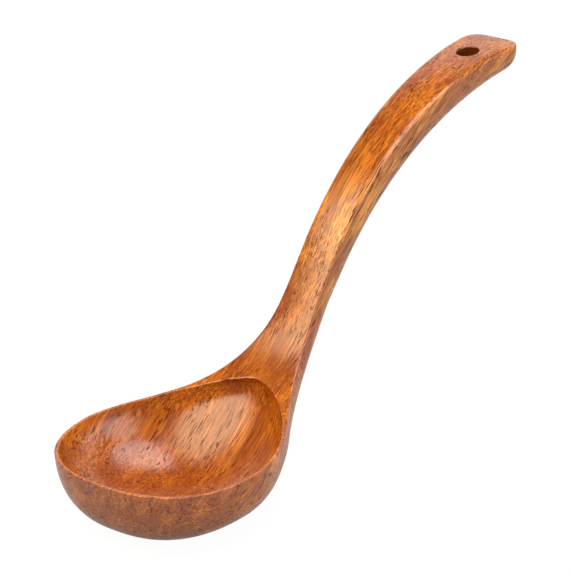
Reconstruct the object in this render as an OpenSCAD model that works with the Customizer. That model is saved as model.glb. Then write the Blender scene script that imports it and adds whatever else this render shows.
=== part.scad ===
// Soup ladle carved from one blank of wood: a bowl with a level rim, a neck that sweeps up from
// the bowl's back, an arched handle, and a wide squared end with a hanging hole.
// A centre line runs along the middle of the top side, from the bowl's front to the handle's
// end. Every cross section lies square to it. Stations on it count along the line from the
// bowl's widest section, and the four regions meet face to face at shared stations.

/* [Bowl] */
// Width of the bowl over its rim
bowl_w = 92; // [84:1:104]
// From the widest section to the front edge
bowl_front = 40.5; // [36:0.5:48]
// From the widest section to where the outline would close behind
bowl_back = 59; // [54:0.5:66]
// How square the outline is in front, where 2 is an ellipse
front_fullness = 2.4; // [2:0.1:3]
// How square the outline is behind, where 2 is an ellipse
back_fullness = 1.45; // [1.4:0.05:1.8]
// Depth of the bowl under the centre line
bowl_deep = 27.5; // [22:0.5:36]
// Station of the deepest section
deepest_at = 5.5; // [0:0.5:8]
// From the deepest section to where the underside would close behind
deep_back = 31; // [28:0.5:42]
// How square the underside is along the ladle, in front
keel_front_fullness = 3.6; // [2.2:0.1:4]
// How square the underside is along the ladle, behind
keel_back_fullness = 2.3; // [2:0.1:3]
// How square the bowl's cross section is, where 2 is an ellipse
bowl_section = 2.5; // [2:0.1:3]

/* [Hollow] */
// Width of the rim between the outer edge and the hollow, in front and at the sides
rim_w = 1.7; // [1.5:0.1:4]
// From the hollow's back edge to where the bowl's outline would close behind
back_w = 6.5; // [5:0.5:12]
// Thickness of the wood under the deepest point of the hollow
floor_t = 4; // [3:0.5:7]
// How much squarer the hollow's outline is behind than the bowl's
squarer = 0.1; // [0:0.05:0.15]
// How much rounder the hollow's cross section is than the bowl's
rounder = 0.3; // [0:0.1:0.5]
// How far the hollow's round section begins above the rim, as a share of its depth
lift = 0.2; // [0:0.05:0.4]
// How square the hollow is along the ladle in front, where 2 is an ellipse
hollow_front_along = 3.2; // [2.4:0.1:5]
// How square the hollow is along the ladle behind, where 2 is an ellipse
hollow_back_along = 2.4; // [2:0.1:3]

/* [Neck] */
// Station where the top side starts to rise
rise_at = 22; // [16:0.5:30]
// Radius of the upward sweep behind the bowl
rise_r = 78; // [66:1:90]
// Steepest slope of the handle, in degrees
rise_angle = 48; // [36:1:54]
// Length of the straight climb between the sweep and the arch
climb = 24; // [16:1:36]
// Station where the outline leaves the bowl's curve
flare_at = 35; // [30:0.5:38]
// Station where the flare ends in the handle's slimmest width
flare_end = 97.5; // [88:1:106]
// Slimmest width of the handle
neck_w = 18; // [14:0.5:22]
// Station where the underside leaves the bowl's curve
heel_at = 23; // [20:0.5:26]
// Station where the underside has come up to the handle
heel_end = 105; // [96:1:112]
// Depth of the handle under the centre line at the neck
neck_deep = 11.5; // [9:0.5:14]

/* [Handle] */
// Radius of the arch
arch_r = 147; // [125:1:165]
// Slope at the handle's end, in degrees
end_angle = -5.5; // [-12:0.5:0]
// Width halfway along the handle
grip_w = 20; // [17:0.5:24]
// Depth under the centre line halfway along the handle
grip_deep = 15; // [12:0.5:18]
// Width of the handle near its end
end_w = 27.5; // [24:0.5:30]
// Depth under the centre line near the end
end_deep = 10.5; // [9:0.5:13]
// Height of the flat crown above the centre line
crown = 1.7; // [1:0.1:2.5]
// How square the handle's underside is, where 2 is an ellipse
handle_section = 2.5; // [2:0.1:3.5]

/* [Hanging end] */
// Radius of the end's corners, seen from above
corner_r = 8; // [5:0.5:10]
// Radius of the end's lower edge, seen from the side
toe_r = 7.5; // [3:0.5:8]
// Radius of the end's upper edge, seen from the side
edge_r = 0.9; // [0.3:0.1:0.9]
// Diameter of the hanging hole
hole_d = 9.5; // [6:0.5:11]
// From the end of the handle to the middle of the hole
hole_in = 20.5; // [16:0.5:26]
// From the end of the handle to where the hanging end begins
end_len = 38; // [32:1:46]

/* [Hidden] */
// Points on each half of a cross section, above and below the centre line
half_points = 24;
// Points across the hollow's cross section
hollow_points = 30;
// Spacing of the cross sections along the bowl, and along the neck and handle
bowl_step = 3;
handle_step = 5;
// Number of cross sections over a rounded end, and of sides on the hanging hole
nose_steps = 12;
hole_sides = 64;
// How square the crown is, which sets how crisp its edges are
crown_section = 5;
// Angle by which an end stops short of the point where its width would reach nothing
nose_gap = 2;
// How far the cutting shapes of the hollow and the hole run past the wood
past = 3;
// Wood between the hollow's back edge and the station where the neck begins
bridge = 10;

// The hollow is set in from the bowl's own curves
hollow_front = bowl_front - rim_w;
hollow_back = bowl_back - back_w;
hollow_half = bowl_w / 2 - rim_w;
hollow_back_fullness = back_fullness + squarer;
hollow_section = bowl_section - rounder;

// Stations of the line's bends, of the handle's end and of the faces between the regions
sweep_end = rise_at + rise_r * rise_angle * PI / 180;
arch_at = sweep_end + climb;
line_end = arch_at + arch_r * (rise_angle - end_angle) * PI / 180;
neck_at = hollow_back + bridge;
handle_at = max(flare_end, heel_end);
end_at = line_end - end_len;
hole_at = line_end - hole_in;
// The origin is on the ground under the middle of the ladle's length
middle = (x_of(line_end) - bowl_front) / 2;

function unit(t) = max(0, min(1, t));
// Falls from 1 to 0 as t goes from 0 to 1, along a quarter of a superellipse, and its slope
function fall(t, fullness) = pow(1 - pow(unit(t), fullness), 1 / fullness);
function fall_slope(t, fullness) =
    -pow(t, fullness - 1) * pow(1 - pow(t, fullness), 1 / fullness - 1);
// Smooth bridge from value v0 with slope m0 at s0 to value v1 with slope m1 at s1
function bridge_curve(s, s0, v0, m0, s1, v1, m1) =
    let (h = s1 - s0, t = unit((s - s0) / h))
    (2 * t * t * t - 3 * t * t + 1) * v0 + (t * t * t - 2 * t * t + t) * h * m0
    + (3 * t * t - 2 * t * t * t) * v1 + (t * t * t - t * t) * h * m1;
// Parabola through a, m and b at the start, middle and end of the handle, and its first slope
function bow(t, a, m, b) = a + (b - a) * t + (4 * m - 2 * a - 2 * b) * t * (1 - t);
function bow_slope(a, m, b) = 4 * m - 3 * a - b;
// Loss of size close to an end that is rounded with radius r
function rounding(s, r) = r * (1 - fall((s - line_end + r) / r, 2));

// Slope of the centre line at station s, and its place there
function slope(s) =
    rise_angle * unit((s - rise_at) / (sweep_end - rise_at))
    + (end_angle - rise_angle) * unit((s - arch_at) / (line_end - arch_at));
function x_of(s) =
    s < rise_at ? s :
    s < sweep_end ? rise_at + rise_r * sin(slope(s)) :
    s < arch_at ? x_of(rise_at) + rise_r * sin(rise_angle) + (s - sweep_end) * cos(rise_angle) :
    rise_at + rise_r * sin(rise_angle) + climb * cos(rise_angle)
    + arch_r * (sin(rise_angle) - sin(slope(s)));
function z_of(s) =
    s < rise_at ? 0 :
    s < sweep_end ? rise_r * (1 - cos(slope(s))) :
    s < arch_at ? rise_r * (1 - cos(rise_angle)) + (s - sweep_end) * sin(rise_angle) :
    rise_r * (1 - cos(rise_angle)) + climb * sin(rise_angle)
    + arch_r * (cos(slope(s)) - cos(rise_angle));
// Point at distance y to the left of the centre line and h above it, square to the line
function place(s, y, h) = [
    x_of(s) - h * sin(slope(s)) - middle,
    y,
    z_of(s) + h * cos(slope(s)) + bowl_deep
];

// Half width and depth of the wood at station s
function bowl_half(s) =
    bowl_w / 2 * (s < 0 ? fall(-s / bowl_front, front_fullness) : fall(s / bowl_back, back_fullness));
function half_width(s) =
    (s < flare_at ? bowl_half(s) :
     s < flare_end ? bridge_curve(s, flare_at, bowl_half(flare_at),
         bowl_w / 2 / bowl_back * fall_slope(flare_at / bowl_back, back_fullness),
         flare_end, neck_w / 2,
         bow_slope(neck_w, grip_w, end_w) / 2 / (line_end - flare_end)) :
     bow((s - flare_end) / (line_end - flare_end), neck_w, grip_w, end_w) / 2)
    - rounding(s, corner_r);
function bowl_depth(s) =
    bowl_deep * (s < deepest_at
        ? fall((deepest_at - s) / (deepest_at + bowl_front), keel_front_fullness)
        : fall((s - deepest_at) / deep_back, keel_back_fullness));
function depth(s) =
    (s < heel_at ? bowl_depth(s) :
     s < heel_end ? bridge_curve(s, heel_at, bowl_depth(heel_at),
         bowl_deep / deep_back * fall_slope((heel_at - deepest_at) / deep_back, keel_back_fullness),
         heel_end, neck_deep,
         bow_slope(neck_deep, grip_deep, end_deep) / (line_end - heel_end)) :
     bow((s - heel_end) / (line_end - heel_end), neck_deep, grip_deep, end_deep))
    - rounding(s, toe_r);
// The cross section turns from the bowl's shape into the handle's over the sweep
function section(s) =
    let (t = unit((s - rise_at) / (sweep_end - rise_at)))
    bowl_section + (handle_section - bowl_section) * t * t * (3 - 2 * t);

// Points of a half section: a superellipse of half width w and height h
function half_section(w, h, fullness, from, to, steps) = [
    for (i = [0 : steps - 1])
        let (a = from + (to - from) * i / steps)
        [w * sign(cos(a)) * pow(abs(cos(a)), 2 / fullness),
         h * sign(sin(a)) * pow(abs(sin(a)), 2 / fullness)]
];
function wood_ring(s) = [
    for (p = concat(
        half_section(half_width(s), crown - rounding(s, edge_r), crown_section, 0, 180, half_points),
        half_section(half_width(s), depth(s), section(s), 180, 360, half_points)))
        place(s, p[0], p[1])
];

// Half width and depth of the hollow at station s
function hollow_width(s) =
    hollow_half * (s < 0 ? fall(-s / hollow_front, front_fullness)
                         : fall(s / hollow_back, hollow_back_fullness));
function hollow_depth(s) =
    (depth(s) - floor_t) * (s < deepest_at
        ? fall((deepest_at - s) / (deepest_at + hollow_front), hollow_front_along)
        : fall((s - deepest_at) / (hollow_back - deepest_at), hollow_back_along));
// Its widest level lies above the rim, so that its walls lean outwards there
function hollow_ring(s) =
    let (w = hollow_width(s) / fall(lift / (1 + lift), hollow_section),
         h = hollow_depth(s),
         top = crown + past + lift * bowl_deep)
    [
        for (p = concat(
            [[w, top], [-w, top], [-w, lift * h]],
            [for (q = half_section(w, (1 + lift) * h, hollow_section, 180, 360, hollow_points))
                if (q[1] < 0) [q[0], q[1] + lift * h]],
            [[w, lift * h]]))
            place(s, p[0], p[1])
    ];

// Stations that close in on a rounded end, and even ones between two given stations
function nose_out(length, gap) = [
    for (i = [0 : nose_steps - 1]) -length * cos(gap + (90 - gap) * i / nose_steps)
];
function tail_out(length, gap) = [
    for (i = [1 : nose_steps]) length * sin((90 - gap) * i / nose_steps)
];
function even(from, to, step) =
    let (count = ceil((to - from) / step))
    [for (i = [0 : count]) from + (to - from) * i / count];

// Closed skin over a row of rings with the same number of points
module skin(rings) {
    n = len(rings[0]);
    last = (len(rings) - 1) * n;
    walls = [
        for (i = [0 : len(rings) - 2], j = [0 : n - 1])
            let (a = i * n + j, b = i * n + (j + 1) % n)
            each [[a, b + n, b], [a, a + n, b + n]]
    ];
    caps = [[for (j = [0 : n - 1]) j], [for (j = [n - 1 : -1 : 0]) last + j]];
    polyhedron([for (ring = rings) each ring], concat(walls, caps), convexity = 4);
}

module wood(stations) {
    skin([for (s = stations) wood_ring(s)]);
}

module hollow() {
    front = nose_out(hollow_front, nose_gap);
    back = tail_out(hollow_back, nose_gap);
    skin([for (s = concat(front, [0], back)) hollow_ring(s)]);
}

module bowl() {
    color("peru")
        difference() {
            wood(concat(nose_out(bowl_front, nose_gap), even(0, neck_at, bowl_step)));
            hollow();
        }
}

module neck() {
    color("chocolate") wood(even(neck_at, handle_at, handle_step));
}

module handle() {
    color("sienna") wood(even(handle_at, end_at, handle_step));
}

module handle_end() {
    nose_at = line_end - corner_r;
    color("peru")
        difference() {
            wood(concat(even(end_at, nose_at, handle_step),
                        [for (s = tail_out(corner_r, 0)) nose_at + s]));
            // The hole runs square through the top side
            translate(place(hole_at, 0, crown + past))
                rotate([0, 180 - slope(hole_at), 0])
                    cylinder(d = hole_d, h = crown + depth(hole_at) + 2 * past, $fn = hole_sides);
        }
}

bowl();
neck();
handle();
handle_end();
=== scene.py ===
from math import cos, pi, radians, sin

import bmesh
import bpy
from mathutils import Matrix, Quaternion, Vector


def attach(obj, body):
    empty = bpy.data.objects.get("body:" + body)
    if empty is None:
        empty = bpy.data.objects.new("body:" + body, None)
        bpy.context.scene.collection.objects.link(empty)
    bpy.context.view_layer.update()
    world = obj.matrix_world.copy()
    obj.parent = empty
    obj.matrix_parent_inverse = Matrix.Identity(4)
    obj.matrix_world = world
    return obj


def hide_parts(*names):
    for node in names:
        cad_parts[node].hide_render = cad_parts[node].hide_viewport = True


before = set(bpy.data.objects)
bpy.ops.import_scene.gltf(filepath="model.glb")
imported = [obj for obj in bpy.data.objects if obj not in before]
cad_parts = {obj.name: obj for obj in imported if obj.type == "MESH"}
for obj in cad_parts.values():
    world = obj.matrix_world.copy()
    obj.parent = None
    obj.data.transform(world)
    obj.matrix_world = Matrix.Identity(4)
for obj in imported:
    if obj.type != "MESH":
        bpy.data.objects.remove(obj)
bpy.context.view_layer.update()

MM = 0.001

# The ladle is shaped straight, with its length along X and its flat top side level, and is then
# laid along the bent middle line. A station is a distance along that line from the bowl's widest
# section. The sizes are in millimetres here and are the wood's own. A fullness is the power of a
# superellipse: 2 gives an ellipse, and more a squarer curve.
BOWL_W = 92.0
BOWL_FRONT = 40.5
BOWL_BACK = 59.0
FRONT_FULLNESS = 2.4
BACK_FULLNESS = 1.45
BOWL_DEEP = 27.5
DEEPEST_AT = 5.5
DEEP_BACK = 31.0
KEEL_FRONT_FULLNESS = 3.6
KEEL_BACK_FULLNESS = 2.3
SECTION = 2.5

# The hollow leaves a rim RIM_W wide, BACK_W at the back, and a floor FLOOR_T thick
RIM_W = 1.7
BACK_W = 6.5
FLOOR_T = 4.0
HOLLOW_BACK_FULLNESS = 1.55
HOLLOW_SECTION = 2.2
HOLLOW_LIFT = 0.2
HOLLOW_FRONT_ALONG = 3.2
HOLLOW_BACK_ALONG = 2.4
HOLLOW_FRONT = BOWL_FRONT - RIM_W
HOLLOW_BACK = BOWL_BACK - BACK_W
HOLLOW_HALF = BOWL_W / 2 - RIM_W

# The middle line rises from the bowl, climbs straight for CLIMB and arches over to END_ANGLE
RISE_AT = 22.0
RISE_R = 78.0
RISE_ANGLE = 48.0
CLIMB = 24.0
ARCH_R = 147.0
END_ANGLE = -5.5

# The wood leaves the bowl's outline where the flare and the heel begin
FLARE_AT = 35.0
FLARE_END = 97.5
NECK_W = 18.0
HEEL_AT = 23.0
HEEL_END = 105.0
NECK_DEEP = 11.5
GRIP_W = 20.0
GRIP_DEEP = 15.0
END_W = 27.5
END_DEEP = 10.5
CORNER_R = 8.0
TOE_R = 7.5
HOLE_D = 9.5
HOLE_IN = 20.5

# The top side lies this far above the middle line. Its edges are rounded by EDGE_R across on the
# handle and RIM_R on the bowl, and EDGE_SLIM times less downwards. From CROWN_FROM on it swells
# by CROWN along its middle, and has no swell CROWN_HALF away from it. The swell grows over
# CROWN_FADE, and dies out over as much before the handle's end.
TOP = 1.25
EDGE_R = 2.0
RIM_R = 0.55
EDGE_SLIM = 2.0
CROWN = 0.45
CROWN_HALF = 11.0
CROWN_FROM = 62.0
CROWN_FADE = 26.0
HOLE_EASE = 0.5

SWEEP_END = RISE_AT + RISE_R * radians(RISE_ANGLE)
ARCH_AT = SWEEP_END + CLIMB
LINE_END = ARCH_AT + ARCH_R * radians(RISE_ANGLE - END_ANGLE)
NECK_AT = HOLLOW_BACK + 10.0
HOLE_AT = LINE_END - HOLE_IN

# How finely the shape is cut: stations lie GAP apart, these many close in on a rounded end, and
# the last one misses the end by a small angle in degrees
GAP = 3.0
FRONT_STEPS = 16
BACK_STEPS = 22
CORNER_STEPS = 10
BOWL_MISS = 1.0
HOLLOW_MISS = 1.5
ROUND_STEPS = 18
EDGE_STEPS = 6
EASE_STEPS = 3
HOLE_STEPS = 64

# The hollow's cutting piece reaches CUTTER_TOP high, and the drill is DRILL_LONG. A cut across
# the top side takes in the faces that lie beyond CUT_REACH before it. The line that bends the
# ladle has a point every LINE_GAP and runs LINE_SPARE past both ends.
CUTTER_TOP = 16.0
DRILL_LONG = 40.0
CUT_REACH = 10.0
LINE_GAP = 0.5
LINE_SPARE = 5.0


# The ladle's measures at each station

def unit(t):
    return max(0.0, min(1.0, t))


def fall(t, fullness):
    """From 1 down to 0 along a quarter of a superellipse."""
    return (1 - unit(t) ** fullness) ** (1 / fullness)


def fall_slope(t, fullness):
    return -t ** (fullness - 1) * (1 - t ** fullness) ** (1 / fullness - 1)


def bridge_curve(s, s0, v0, m0, s1, v1, m1):
    """Smooth bridge from value v0 with slope m0 at s0 to value v1 with slope m1 at s1."""
    h = s1 - s0
    t = unit((s - s0) / h)
    return ((2 * t**3 - 3 * t**2 + 1) * v0 + (t**3 - 2 * t**2 + t) * h * m0
            + (3 * t**2 - 2 * t**3) * v1 + (t**3 - t**2) * h * m1)


def bow(t, start, middle, end):
    """A parabola through three values, at 0, 0.5 and 1."""
    return start + (end - start) * t + (4 * middle - 2 * start - 2 * end) * t * (1 - t)


def bow_slope(start, middle, end):
    """How steeply a bow leaves its start."""
    return 4 * middle - 3 * start - end


def rounding(s, r):
    """What is lost close to the handle's end, which is rounded with radius r."""
    return r * (1 - fall((s - LINE_END + r) / r, 2))


def slope(s):
    """How steeply the middle line rises at a station, in radians."""
    return radians(RISE_ANGLE * unit((s - RISE_AT) / (SWEEP_END - RISE_AT))
                   + (END_ANGLE - RISE_ANGLE) * unit((s - ARCH_AT) / (LINE_END - ARCH_AT)))


def line_point(s):
    """Place of a station on the middle line, from the bowl's widest section at rim height."""
    steep = radians(RISE_ANGLE)
    if s < RISE_AT:
        return s, 0.0
    if s < SWEEP_END:
        return RISE_AT + RISE_R * sin(slope(s)), RISE_R * (1 - cos(slope(s)))
    x = RISE_AT + RISE_R * sin(steep)
    z = RISE_R * (1 - cos(steep))
    if s < ARCH_AT:
        return x + (s - SWEEP_END) * cos(steep), z + (s - SWEEP_END) * sin(steep)
    return (x + CLIMB * cos(steep) + ARCH_R * (sin(steep) - sin(slope(s))),
            z + CLIMB * sin(steep) + ARCH_R * (cos(slope(s)) - cos(steep)))


MIDDLE = (line_point(LINE_END)[0] - BOWL_FRONT) / 2


def place(s, y=0.0, h=0.0):
    """Point in the frame, in metres, at y left of station s and h above the middle line."""
    x, z = line_point(s)
    return Vector((x - h * sin(slope(s)) - MIDDLE, y, z + h * cos(slope(s)) + BOWL_DEEP)) * MM


def bowl_half(s):
    if s < 0:
        return BOWL_W / 2 * fall(-s / BOWL_FRONT, FRONT_FULLNESS)
    return BOWL_W / 2 * fall(s / BOWL_BACK, BACK_FULLNESS)


def wood_half(s):
    """Half the ladle's width: the bowl, the flare behind it and the handle."""
    if s < FLARE_AT:
        wide = bowl_half(s)
    elif s < FLARE_END:
        leave = BOWL_W / 2 / BOWL_BACK * fall_slope(FLARE_AT / BOWL_BACK, BACK_FULLNESS)
        arrive = bow_slope(NECK_W, GRIP_W, END_W) / 2 / (LINE_END - FLARE_END)
        wide = bridge_curve(s, FLARE_AT, bowl_half(FLARE_AT), leave, FLARE_END, NECK_W / 2, arrive)
    else:
        wide = bow((s - FLARE_END) / (LINE_END - FLARE_END), NECK_W, GRIP_W, END_W) / 2
    return wide - rounding(s, CORNER_R)


def bowl_depth(s):
    if s < DEEPEST_AT:
        return BOWL_DEEP * fall((DEEPEST_AT - s) / (DEEPEST_AT + BOWL_FRONT), KEEL_FRONT_FULLNESS)
    return BOWL_DEEP * fall((s - DEEPEST_AT) / DEEP_BACK, KEEL_BACK_FULLNESS)


def wood_depth(s):
    """The ladle's depth below the middle line: the bowl, the heel behind it and the handle."""
    if s < HEEL_AT:
        deep = bowl_depth(s)
    elif s < HEEL_END:
        heel = (HEEL_AT - DEEPEST_AT) / DEEP_BACK
        leave = BOWL_DEEP / DEEP_BACK * fall_slope(heel, KEEL_BACK_FULLNESS)
        arrive = bow_slope(NECK_DEEP, GRIP_DEEP, END_DEEP) / (LINE_END - HEEL_END)
        deep = bridge_curve(s, HEEL_AT, bowl_depth(HEEL_AT), leave, HEEL_END, NECK_DEEP, arrive)
    else:
        deep = bow((s - HEEL_END) / (LINE_END - HEEL_END), NECK_DEEP, GRIP_DEEP, END_DEEP)
    return deep - rounding(s, TOE_R)


def hollow_half(s):
    if s < 0:
        return HOLLOW_HALF * fall(-s / HOLLOW_FRONT, FRONT_FULLNESS)
    return HOLLOW_HALF * fall(s / HOLLOW_BACK, HOLLOW_BACK_FULLNESS)


def hollow_depth(s):
    deep = wood_depth(s) - FLOOR_T
    if s < DEEPEST_AT:
        return deep * fall((DEEPEST_AT - s) / (DEEPEST_AT + HOLLOW_FRONT), HOLLOW_FRONT_ALONG)
    return deep * fall((s - DEEPEST_AT) / (HOLLOW_BACK - DEEPEST_AT), HOLLOW_BACK_ALONG)


def even(start, end, step):
    """Distances from the first step beyond start to the end, in equal steps of at most step."""
    count = round((end - start) / step + 0.5)
    return [start + (end - start) * i / count for i in range(1, count + 1)]


def closing(length, steps, miss):
    """Distances that close in on a rounded end, which they miss by a small angle."""
    return [length * sin(radians((90 - miss) * i / steps)) for i in range(1, steps + 1)]


# Modelling helpers

def deselect():
    if bpy.context.object and bpy.context.object.mode == "EDIT":
        bpy.ops.object.mode_set(mode="OBJECT")
    bpy.ops.object.select_all(action="DESELECT")


def edit(piece):
    deselect()
    bpy.context.view_layer.objects.active = piece
    piece.select_set(True)
    bpy.ops.object.mode_set(mode="EDIT")


def pick(kind, test):
    """Selects the open mesh's verts, edges or faces that pass the test, and nothing else."""
    bpy.ops.mesh.select_mode(type={"verts": "VERT", "edges": "EDGE", "faces": "FACE"}[kind])
    bpy.ops.mesh.select_all(action="DESELECT")
    mesh = bpy.context.object.data
    open_mesh = bmesh.from_edit_mesh(mesh)
    for part in getattr(open_mesh, kind):
        if test(part):
            part.select_set(True)
    open_mesh.select_flush_mode()
    bmesh.update_edit_mesh(mesh)


def apply(piece, kind, **settings):
    """Adds a modifier with these settings and applies it."""
    bpy.context.view_layer.objects.active = piece
    modifier = piece.modifiers.new(kind.lower(), kind)
    for name, value in settings.items():
        setattr(modifier, name, value)
    bpy.ops.object.modifier_apply(modifier=modifier.name)


def straight_blank(name, stations, half, depth, squareness, lift, top):
    """A bar along X with a flat top side, whose width and depth at rim height follow the two
    curves. Its round underside begins at a share of the depth above rim height, the lift."""
    deselect()
    bpy.ops.mesh.primitive_plane_add(size=2, location=(0, 0, 0), rotation=(0, pi / 2, 0))
    piece = bpy.context.object
    piece.name = name
    bpy.ops.object.transform_apply(location=True, rotation=True, scale=True)
    edit(piece)
    # The two lower corners become one round underside
    pick("verts", lambda v: v.co.z < 0)
    bpy.ops.mesh.bevel(affect="VERTICES", offset=1, segments=ROUND_STEPS,
                       profile=2 ** (-2 / squareness), clamp_overlap=True)
    bpy.ops.mesh.select_all(action="SELECT")
    bpy.ops.mesh.remove_doubles(threshold=1e-4)
    widest = 1 / fall(lift / (1 + lift), squareness)
    bpy.ops.transform.resize(value=(1, widest, 1 + lift), center_override=(0, 0, 0))
    bpy.ops.transform.translate(value=(0, 0, lift))
    s = stations[0]
    bpy.ops.transform.resize(value=(1, half(s) * MM, depth(s) * MM), center_override=(0, 0, 0))
    bpy.ops.transform.translate(value=(s * MM, 0, 0))
    for there in stations[1:]:
        bpy.ops.mesh.extrude_region_move(TRANSFORM_OT_translate={"value": ((there - s) * MM, 0, 0)})
        bpy.ops.transform.resize(value=(1, half(there) / half(s), depth(there) / depth(s)),
                                 center_override=(there * MM, 0, 0))
        s = there
    # The top side, all that lies above the round underside, is pressed flat into one face
    pick("verts", lambda v: v.co.z > (0.01 + 1.01 * lift * depth(v.co.x / MM)) * MM)
    bpy.ops.transform.resize(value=(1, 1, 0), center_override=(0, 0, 0))
    bpy.ops.transform.translate(value=(0, 0, top * MM))
    bpy.ops.mesh.select_all(action="SELECT")
    bpy.ops.mesh.normals_make_consistent(inside=False)
    pick("faces", lambda f: f.normal.z > 0.9)
    bpy.ops.mesh.dissolve_faces()
    bpy.ops.object.mode_set(mode="OBJECT")
    return piece


def top_side(face):
    return face.normal.z > 0.99 and face.calc_center_median().z > (TOP - 0.01) * MM


def on_top_rim(edge):
    """True for an edge where the straight ladle turns down from its top side."""
    return (edge.calc_face_angle(0) > radians(50)
            and all(abs(v.co.z - TOP * MM) < 1e-6 for v in edge.verts))


def stretch_height(factor):
    bpy.ops.mesh.select_all(action="SELECT")
    bpy.ops.transform.resize(value=(1, 1, factor), center_override=(0, 0, TOP * MM))


def cut_top(plane_co, plane_no, start):
    """Cuts the top side's faces that lie beyond the start along a plane."""
    pick("faces", lambda f: top_side(f) and f.calc_center_median().x > start * MM)
    bpy.ops.mesh.bisect(plane_co=plane_co, plane_no=plane_no, threshold=1e-6)


# The ladle, one step of the work after another

def hollowed_blank():
    """The straight ladle, with its bowl hollowed and its top side as a left and a right face."""
    hollow_stations = ([-d for d in reversed(closing(HOLLOW_FRONT, FRONT_STEPS, HOLLOW_MISS))]
                       + [0.0] + closing(HOLLOW_BACK, BACK_STEPS, HOLLOW_MISS))
    wood_stations = ([-d for d in reversed(closing(BOWL_FRONT, FRONT_STEPS, BOWL_MISS))] + [0.0]
                     + even(0, LINE_END - CORNER_R, GAP)
                     + [LINE_END - CORNER_R + d for d in closing(CORNER_R, CORNER_STEPS, 0.0)])
    wood = straight_blank("ladle", wood_stations, wood_half, wood_depth, SECTION, 0, TOP)
    hollow = straight_blank("hollow", hollow_stations, hollow_half, hollow_depth,
                            HOLLOW_SECTION, HOLLOW_LIFT, CUTTER_TOP)
    deselect()
    apply(wood, "BOOLEAN", operation="DIFFERENCE", object=hollow, solver="EXACT")
    bpy.data.objects.remove(hollow)
    edit(wood)
    pick("faces", top_side)
    bpy.ops.mesh.bisect(plane_co=(0, 0, 0), plane_no=(0, 1, 0), threshold=1e-6)
    for side in (-1, 1):
        pick("faces", lambda f: top_side(f) and f.calc_center_median().y * side > 0)
        bpy.ops.mesh.dissolve_faces()
    bpy.ops.object.mode_set(mode="OBJECT")
    return wood


def round_top_edges(wood):
    """Rounds the top side's edges, the rim's less than the handle's. The wood is stretched in
    height meanwhile, so the rounding comes out wider than it is deep."""
    edit(wood)
    pick("edges", on_top_rim)
    open_mesh = bmesh.from_edit_mesh(wood.data)
    weight = open_mesh.edges.layers.float.new("bevel_weight_edge")
    for edge in open_mesh.edges:
        if edge.select:
            middle_s = (edge.verts[0].co.x + edge.verts[1].co.x) / 2 / MM
            blend = unit((middle_s - FLARE_AT) / (FLARE_END - FLARE_AT))
            edge[weight] = RIM_R / EDGE_R + (1 - RIM_R / EDGE_R) * blend
    stretch_height(EDGE_SLIM)
    bpy.ops.object.mode_set(mode="OBJECT")
    apply(wood, "BEVEL", width=EDGE_R * MM, segments=EDGE_STEPS, limit_method="WEIGHT",
          use_clamp_overlap=False)
    edit(wood)
    stretch_height(1 / EDGE_SLIM)
    bpy.ops.object.mode_set(mode="OBJECT")


def swell_handle(wood):
    """Cuts the top side across and along, so that it can bend, and swells it on the handle."""
    edit(wood)
    for s in even(RISE_AT - GAP, LINE_END - GAP, GAP):
        cut_top((s * MM, 0, 0), (1, 0, 0), s - CUT_REACH)
    for lane in range(-2, 3):
        cut_top((0, lane * GAP * MM, 0), (0, 1, 0), NECK_AT)
    bpy.ops.object.mode_set(mode="OBJECT")
    swell = wood.vertex_groups.new(name="swell")
    for v in wood.data.vertices:
        if v.co.z > 0:
            near = min(unit((v.co.x / MM - CROWN_FROM) / CROWN_FADE),
                       unit((LINE_END - v.co.x / MM) / CROWN_FADE))
            across = max(0, 1 - (v.co.y / MM / CROWN_HALF) ** 2)
            swell.add([v.index], near * near * (3 - 2 * near) * across, "REPLACE")
    apply(wood, "DISPLACE", strength=CROWN * MM, direction="Z", mid_level=0,
          vertex_group="swell")
    wood.vertex_groups.clear()


def lay_along_line(wood):
    """Bends the straight wood along the middle line."""
    lead = BOWL_FRONT + LINE_SPARE
    stations = [-lead] + even(-lead, LINE_END + LINE_SPARE, LINE_GAP)
    line = bpy.data.curves.new("middle line", "CURVE")
    line.dimensions = "3D"
    line.twist_mode = "Z_UP"
    spline = line.splines.new("POLY")
    spline.points.add(len(stations) - 1)
    for point, s in zip(spline.points, stations):
        point.co = (*place(s), 1)
    bend = bpy.data.objects.new("middle line", line)
    bpy.context.scene.collection.objects.link(bend)
    edit(wood)
    bpy.ops.mesh.select_all(action="SELECT")
    bpy.ops.transform.translate(value=(lead * MM, 0, 0))
    deselect()
    apply(wood, "CURVE", object=bend, deform_axis="POS_X")
    bpy.data.objects.remove(bend)


def drill_hanging_hole(wood):
    """Drills the hole square to the top side and eases its edges."""
    middle = place(HOLE_AT)
    axis = place(HOLE_AT, 0, 1) - middle
    axis.normalize()
    deselect()
    bpy.ops.mesh.primitive_cylinder_add(vertices=HOLE_STEPS, radius=HOLE_D / 2 * MM,
                                        depth=DRILL_LONG * MM, location=middle,
                                        rotation=(0, -slope(HOLE_AT), 0))
    drill = bpy.context.object
    apply(wood, "BOOLEAN", operation="DIFFERENCE", object=drill, solver="EXACT")
    bpy.data.objects.remove(drill)

    def on_hole_edge(edge):
        """True for an edge around a mouth of the hole, and not for one down its wall."""
        for v in edge.verts:
            off = v.co - middle
            if abs((off - off.dot(axis) * axis).length - HOLE_D / 2 * MM) > 2e-5:
                return False
        run = (edge.verts[1].co - edge.verts[0].co).normalized()
        return abs(run.dot(axis)) < 0.7

    edit(wood)
    pick("edges", on_hole_edge)
    bpy.ops.mesh.bevel(offset=HOLE_EASE * MM, segments=EASE_STEPS, affect="EDGES",
                       clamp_overlap=False)
    bpy.ops.object.mode_set(mode="OBJECT")


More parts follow.
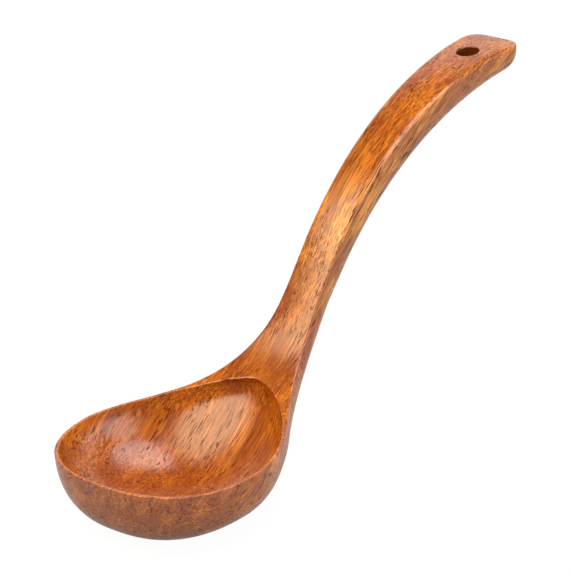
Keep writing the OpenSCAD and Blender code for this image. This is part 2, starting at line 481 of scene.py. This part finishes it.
def smooth_faces(wood):
    for face in wood.data.polygons:
        face.use_smooth = True
    apply(wood, "WEIGHTED_NORMAL", mode="FACE_AREA", weight=50, keep_sharp=False)


ladle = hollowed_blank()
round_top_edges(ladle)
swell_handle(ladle)
lay_along_line(ladle)
drill_hanging_hole(ladle)
smooth_faces(ladle)

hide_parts("bowl", "neck", "handle", "handle_end")
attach(ladle, "root")


# Materials

class Signal:
    """One output of a node. Arithmetic on it adds Math nodes."""

    def __init__(self, tree, socket=None):
        self.tree = tree
        self.socket = socket

    def node(self, kind, settings=None, sockets=None, output=0):
        """Adds a node, makes its settings, then fills and links its sockets."""
        made = self.tree.nodes.new(kind)
        for name, value in (settings or {}).items():
            setattr(made, name, value)
        for name, value in (sockets or {}).items():
            if isinstance(value, Signal):
                self.tree.links.new(value.socket, made.inputs[name])
            else:
                made.inputs[name].default_value = value
        return Signal(self.tree, made.outputs[output] if made.outputs else None)

    def math(self, operation, *terms):
        return self.node("ShaderNodeMath", {"operation": operation}, dict(enumerate(terms)))

    def __add__(self, other):
        return self.math("ADD", self, other)

    __radd__ = __add__

    def __sub__(self, other):
        return self.math("SUBTRACT", self, other)

    def __rsub__(self, other):
        return self.math("SUBTRACT", other, self)

    def __mul__(self, other):
        return self.math("MULTIPLY", self, other)

    __rmul__ = __mul__

    def step(self, start, end):
        """Smooth step from 0 at start to 1 at end."""
        return self.node("ShaderNodeMapRange", {"interpolation_type": "SMOOTHSTEP"},
                         {"Value": self, "From Min": start, "From Max": end})

    def step_mm(self, start, end):
        return self.step(start * MM, end * MM)

    def blend(self, first, second):
        """Colour that goes from first to second as this value goes from 0 to 1."""
        return self.node("ShaderNodeMix", {"data_type": "RGBA"}, {0: self, 6: first, 7: second}, 2)


def bare(tree):
    """Empties a node tree, and gives the Signal that its nodes are added through."""
    tree.nodes.clear()
    return Signal(tree)


def tone(red, green, blue):
    """A colour as a paint chart gives it, from 0 to 255, as the shaders take it."""
    return (*((c / 255 / 12.92 if c < 10.3 else ((c / 255 + 0.055) / 1.055) ** 2.4)
              for c in (red, green, blue)), 1)


# The straw colour also paints part of a highlight on the lower handle, the brown also paints shade
# at the neck, and the pore colour also paints the shade in the hanging hole
HAIRLINE_TONE = tone(119, 48, 10)
BROWN_AND_SHADE = tone(152, 68, 12)
AMBER = tone(197, 102, 10)
STRAW_AND_HIGHLIGHT = tone(243, 159, 54)
PORE_AND_HOLE_SHADE = tone(79, 33, 10)

# The wood is cut through a solid pattern, whose fibres run at this pitch up along the ladle and
# level out beyond this place along the upper handle, faster and faster
GRAIN_PITCH = 35.0
LEVEL_FROM = 30.0
LEVEL_RATE = 1.2

# Where the colour changes, in millimetres in the frame. A stretch of the ladle's length begins at
# the first number, is full from the second to the third and has ended at the fourth.
# Lighter wood along the lower handle, and in part a painted highlight where the side softbox shines
# on it
PALE_AND_LIT_HANDLE = (-14, 6, 12, 54)
# More brown wood at the neck, and in part painted shade that dims the side softbox's highlight
# there
BROWN_AND_SHADED_NECK = (-50, -30, -18, 0)

# The colour is darker low down: fully up to the first height and no longer at the second, which
# takes in the bowl's floor and the bottom of its outside. The sides begin and are full at these
# distances from the middle, which grow towards the wide end by SIDE_FLARE times X squared, in
# metres, and along the handle they begin and are full at these places.
DARK_FLOOR = (3, 20)
PALE_SIDES = (7.6, 8.8)
SIDE_FLARE = 0.3
PALE_SIDES_ALONG = (-10, 15)

# Painted shade in the hanging hole: dark up to the first distance from its axis, not at the second
HOLE_SHADE = (HOLE_D / 2 + 0.1, HOLE_D / 2 + 0.5)


def lacquered_wood():
    material = bpy.data.materials.new("lacquered wood")
    material.use_nodes = True
    new = bare(material.node_tree)
    spot = new.node("ShaderNodeTexCoord", output="Object")
    axis_x, axis_y, axis_z = (new.node("ShaderNodeSeparateXYZ", None, {"Vector": spot}, axis)
                              for axis in "XYZ")
    beyond = new.math("MAXIMUM", axis_x - LEVEL_FROM * MM, 0)
    levelling = new.node("ShaderNodeCombineXYZ", None, {"Z": beyond * beyond * LEVEL_RATE})
    grain_spot = new.node("ShaderNodeVectorMath", {"operation": "ADD"}, {0: spot, 1: levelling})

    def fibres(length, width, detail, offset):
        """Noise drawn out along the grain, with its length and width in millimetres. The offset
        sets it apart from the other noises."""
        along = new.node("ShaderNodeMapping", {"vector_type": "TEXTURE"},
                         {"Vector": grain_spot, "Location": (offset, offset, offset),
                          "Rotation": (0, -radians(GRAIN_PITCH), 0),
                          "Scale": (length * MM, width * MM, width * MM)})
        return new.node("ShaderNodeTexNoise", None,
                        {"Vector": along, "Scale": 1.0, "Detail": detail, "Roughness": 0.55})

    def stretch(start, full, fade, end):
        """1 on a stretch of the ladle's length, and 0 before and after it."""
        return axis_x.step_mm(start, full) - axis_x.step_mm(fade, end)

    # Broad bands, pale streaks, fine dark hair lines, brown clouds, and pores in clusters
    bands = fibres(140, 8, 2, 0.3).step(0.36, 0.64)
    streaks = fibres(50, 1.3, 3, 0.7).step(0.36, 0.66)
    hairs = fibres(30, 0.65, 1, 1.1).step(0.52, 0.59)
    clouds = fibres(22, 9, 3, 1.7).step(0.42, 0.62)
    clusters = fibres(30, 4, 2, 2.3).step(0.42, 0.6)
    pores = fibres(9, 0.55, 1, 2.9).step(0.56, 0.62) * (0.35 + 0.65 * clusters)

    # The colour is lighter along the lower handle, partly as the wood's tone and partly as a
    # painted highlight from the side softbox; lighter down the handle's sides; more brown at the
    # neck, partly as the wood's tone and partly as painted shade that dims the side softbox's
    # highlight there; and darker low down, over the bowl's floor and the bottom of its outside
    off_middle = new.math("ABSOLUTE", axis_y) - axis_x * axis_x * SIDE_FLARE
    sides = off_middle.step_mm(*PALE_SIDES) * axis_x.step_mm(*PALE_SIDES_ALONG)
    paler_and_lit = stretch(*PALE_AND_LIT_HANDLE)
    browner_and_shaded = stretch(*BROWN_AND_SHADED_NECK)
    darker = 1 - axis_z.step_mm(*DARK_FLOOR)

    # The wall of the hanging hole is painted dark, as painted shade inside the hole
    off_hole = new.node("ShaderNodeVectorMath", {"operation": "SUBTRACT"},
                        {0: spot, 1: place(HOLE_AT)})
    off_axis = new.node("ShaderNodeVectorMath", {"operation": "MULTIPLY"},
                        {0: off_hole, 1: (1, 1, 0)})
    reach = new.node("ShaderNodeVectorMath", {"operation": "LENGTH"}, {0: off_axis}, "Value")
    hole_shade = 1 - reach.step_mm(*HOLE_SHADE)

    # Painted light below: part of the straw on the lower handle is a painted highlight, part of the
    # brown at the neck is painted shade, and the dark in the hanging hole is painted shade
    color = (bands * (1 - 0.5 * darker)).blend(BROWN_AND_SHADE, AMBER)
    color = (streaks * (0.45 - 0.25 * darker) + 0.45 * paler_and_lit + 0.3 * sides).blend(color, STRAW_AND_HIGHLIGHT)
    color = (clouds * 0.6 + browner_and_shaded * 0.25).blend(color, BROWN_AND_SHADE)
    color = (hairs * (0.5 + 0.2 * paler_and_lit)).blend(color, HAIRLINE_TONE)
    color = (pores * 0.8).blend(color, PORE_AND_HOLE_SHADE)
    color = (hole_shade * 0.8).blend(color, PORE_AND_HOLE_SHADE)
    relief = new.node("ShaderNodeBump", None,
                      {"Strength": 0.4, "Distance": 0.12 * MM, "Height": hairs * 0.25 - pores})
    surface = new.node("ShaderNodeBsdfPrincipled", None, {
        "Base Color": color,
        "Roughness": 0.38 + 0.1 * streaks + 0.2 * pores,
        "Specular IOR Level": 0.0,
        "Coat Weight": 1 - 0.7 * pores,
        "Coat Roughness": 0.23,
        "Coat IOR": 1.77,
        "Normal": relief,
    })
    new.node("ShaderNodeOutputMaterial", None, {"Surface": surface})
    return material


ladle.data.materials.clear()
ladle.data.materials.append(lacquered_wood())


# Studio, with its places and sizes in metres and its angles in degrees

# The camera stands off from its sight by these angles and this distance. Its bearing is counted
# from +X towards +Y. As the picture has it, the sight lies to the right of the bowl's middle at
# rim height, and above it.
CAMERA_BEARING = -136.964
CAMERA_HEIGHT = 24.85
CAMERA_ROLL = -6.075
CAMERA_AWAY = 1.4579
SIGHT_RIGHT = 0.04452
SIGHT_UP = 0.0623
LENS_MM = 235.5
SENSOR_MM = 36.0

# The floor is mostly a white that shines, and for the rest a grey that takes the ladle's shadow.
# A reflection sees less of the white.
FLOOR_SIZE = 6.0
FLOOR_SHINE = 1.1
FLOOR_GREY = (0.42, 0.42, 0.42, 1)
WHITE_SHARE = 0.88
MIRRORED_SHARE = 0.35

# A white sweep stands behind the ladle, this way from +X towards +Y, and fades out over these
# heights. Its soft edge is given by how squarely one faces it. The room is what else there is.
SWEEP_TURN = 15.0
SWEEP_TOP = (32.0, 43.0)
SWEEP_EDGE = (0.2, 0.5)
ROOM_SEEN = 0.03
SWEEP_SEEN = 0.87
ROOM_LIGHT = 0.15
SWEEP_LIGHT = 1.12

WHITE = (1, 1, 1, 1)
LIT_SPOT = (-0.03, 0.0, 0.05)
WHITE_LAMP = (1.0, 1.0, 1.0)
WARM_LAMP = (1.0, 0.84, 0.56)


def set_camera():
    bearing = radians(CAMERA_BEARING)
    height = radians(CAMERA_HEIGHT)
    back = Vector((cos(height) * cos(bearing), cos(height) * sin(bearing), sin(height)))
    turn = back.to_track_quat("Z", "Y") @ Quaternion((0, 0, 1), radians(CAMERA_ROLL))
    sight = place(0) + turn @ Vector((SIGHT_RIGHT, SIGHT_UP, 0))
    camera_data = bpy.data.cameras.new("camera")
    camera_data.sensor_width = SENSOR_MM
    camera_data.lens = LENS_MM
    camera = bpy.data.objects.new("camera", camera_data)
    bpy.context.scene.collection.objects.link(camera)
    camera.matrix_world = Matrix.Translation(sight + back * CAMERA_AWAY) @ turn.to_matrix().to_4x4()
    bpy.context.scene.camera = camera


def rays(new):
    """1 for rays from the camera, rays from a reflection and rays through glass."""
    return [new.node("ShaderNodeLightPath", output=kind)
            for kind in ("Is Camera Ray", "Is Glossy Ray", "Is Transmission Ray")]


def white_floor():
    material = bpy.data.materials.new("white floor")
    material.use_nodes = True
    new = bare(material.node_tree)
    plain = new.node("ShaderNodeBsdfDiffuse", None, {"Color": FLOOR_GREY})
    white = new.node("ShaderNodeEmission", None, {"Color": WHITE, "Strength": FLOOR_SHINE})
    camera_ray, mirror_ray, glass_ray = rays(new)
    seen = (camera_ray + mirror_ray * MIRRORED_SHARE + glass_ray) * WHITE_SHARE
    both = new.node("ShaderNodeMixShader", None, {0: seen, 1: plain, 2: white})
    new.node("ShaderNodeOutputMaterial", None, {"Surface": both})
    return material


def studio_world():
    """White to the camera. Reflections and glass see the sweep and the room, and both light the
    ladle."""
    world = bpy.data.worlds.new("studio")
    world.use_nodes = True
    new = bare(world.node_tree)
    direction = new.node("ShaderNodeTexCoord", output="Generated")
    height = new.node("ShaderNodeSeparateXYZ", None, {"Vector": direction}, "Z")
    turn = radians(SWEEP_TURN)
    facing = new.node("ShaderNodeVectorMath", {"operation": "DOT_PRODUCT"},
                      {0: direction, 1: (cos(turn), sin(turn), 0)}, "Value")
    over = height.step(*(sin(radians(angle)) for angle in SWEEP_TOP))
    sweep = facing.step(*SWEEP_EDGE) * (1 - over)
    camera_ray, mirror_ray, glass_ray = rays(new)
    bent_ray = mirror_ray + glass_ray
    strength = (camera_ray + bent_ray * (ROOM_SEEN + SWEEP_SEEN * sweep)
                + (1 - camera_ray - bent_ray) * (ROOM_LIGHT + SWEEP_LIGHT * sweep))
    sky = new.node("ShaderNodeBackground", None, {"Color": WHITE, "Strength": strength})
    new.node("ShaderNodeOutputWorld", None, {"Surface": sky})
    return world


def softbox(name, spot, wide, long, roll, radiance, color):
    """A lit ellipse that faces the ladle, is turned by roll on its own axis and is as bright to
    the eye as its radiance says."""
    aim = (Vector(LIT_SPOT) - Vector(spot)).to_track_quat("-Z", "Y")
    turned = aim @ Quaternion((0, 0, 1), radians(roll))
    deselect()
    bpy.ops.object.light_add(type="AREA", location=spot, rotation=turned.to_euler())
    lamp = bpy.context.object
    lamp.name = name
    lamp.visible_camera = False
    lamp.data.shape = "ELLIPSE"
    lamp.data.size = wide
    lamp.data.size_y = long
    lamp.data.energy = radiance * pi * wide * long * pi / 4
    lamp.data.color = color


set_camera()
bpy.context.scene.view_settings.view_transform = "Standard"
bpy.context.scene.world = studio_world()
deselect()
bpy.ops.mesh.primitive_plane_add(size=FLOOR_SIZE, location=(0, 0, 0))
floor = bpy.context.object
floor.name = "floor"
floor.data.materials.append(white_floor())
softbox("softbox above", spot=(0.109, -0.113, 0.693), wide=0.504, long=0.673, roll=-52.4,
        radiance=3.05, color=WHITE_LAMP)
softbox("softbox at the side", spot=(-0.347, 0.087, 0.52), wide=0.42, long=0.84, roll=-105.5,
        radiance=4.3, color=WARM_LAMP)
softbox("softbox in front", spot=(0.009, -0.85, 0.45), wide=0.93, long=0.525, roll=78.8,
        radiance=2.05, color=WHITE_LAMP)
softbox("softbox low at the right", spot=(0.45, -0.8, 0.22), wide=0.7, long=0.6, roll=0.0,
        radiance=1.3, color=WHITE_LAMP)
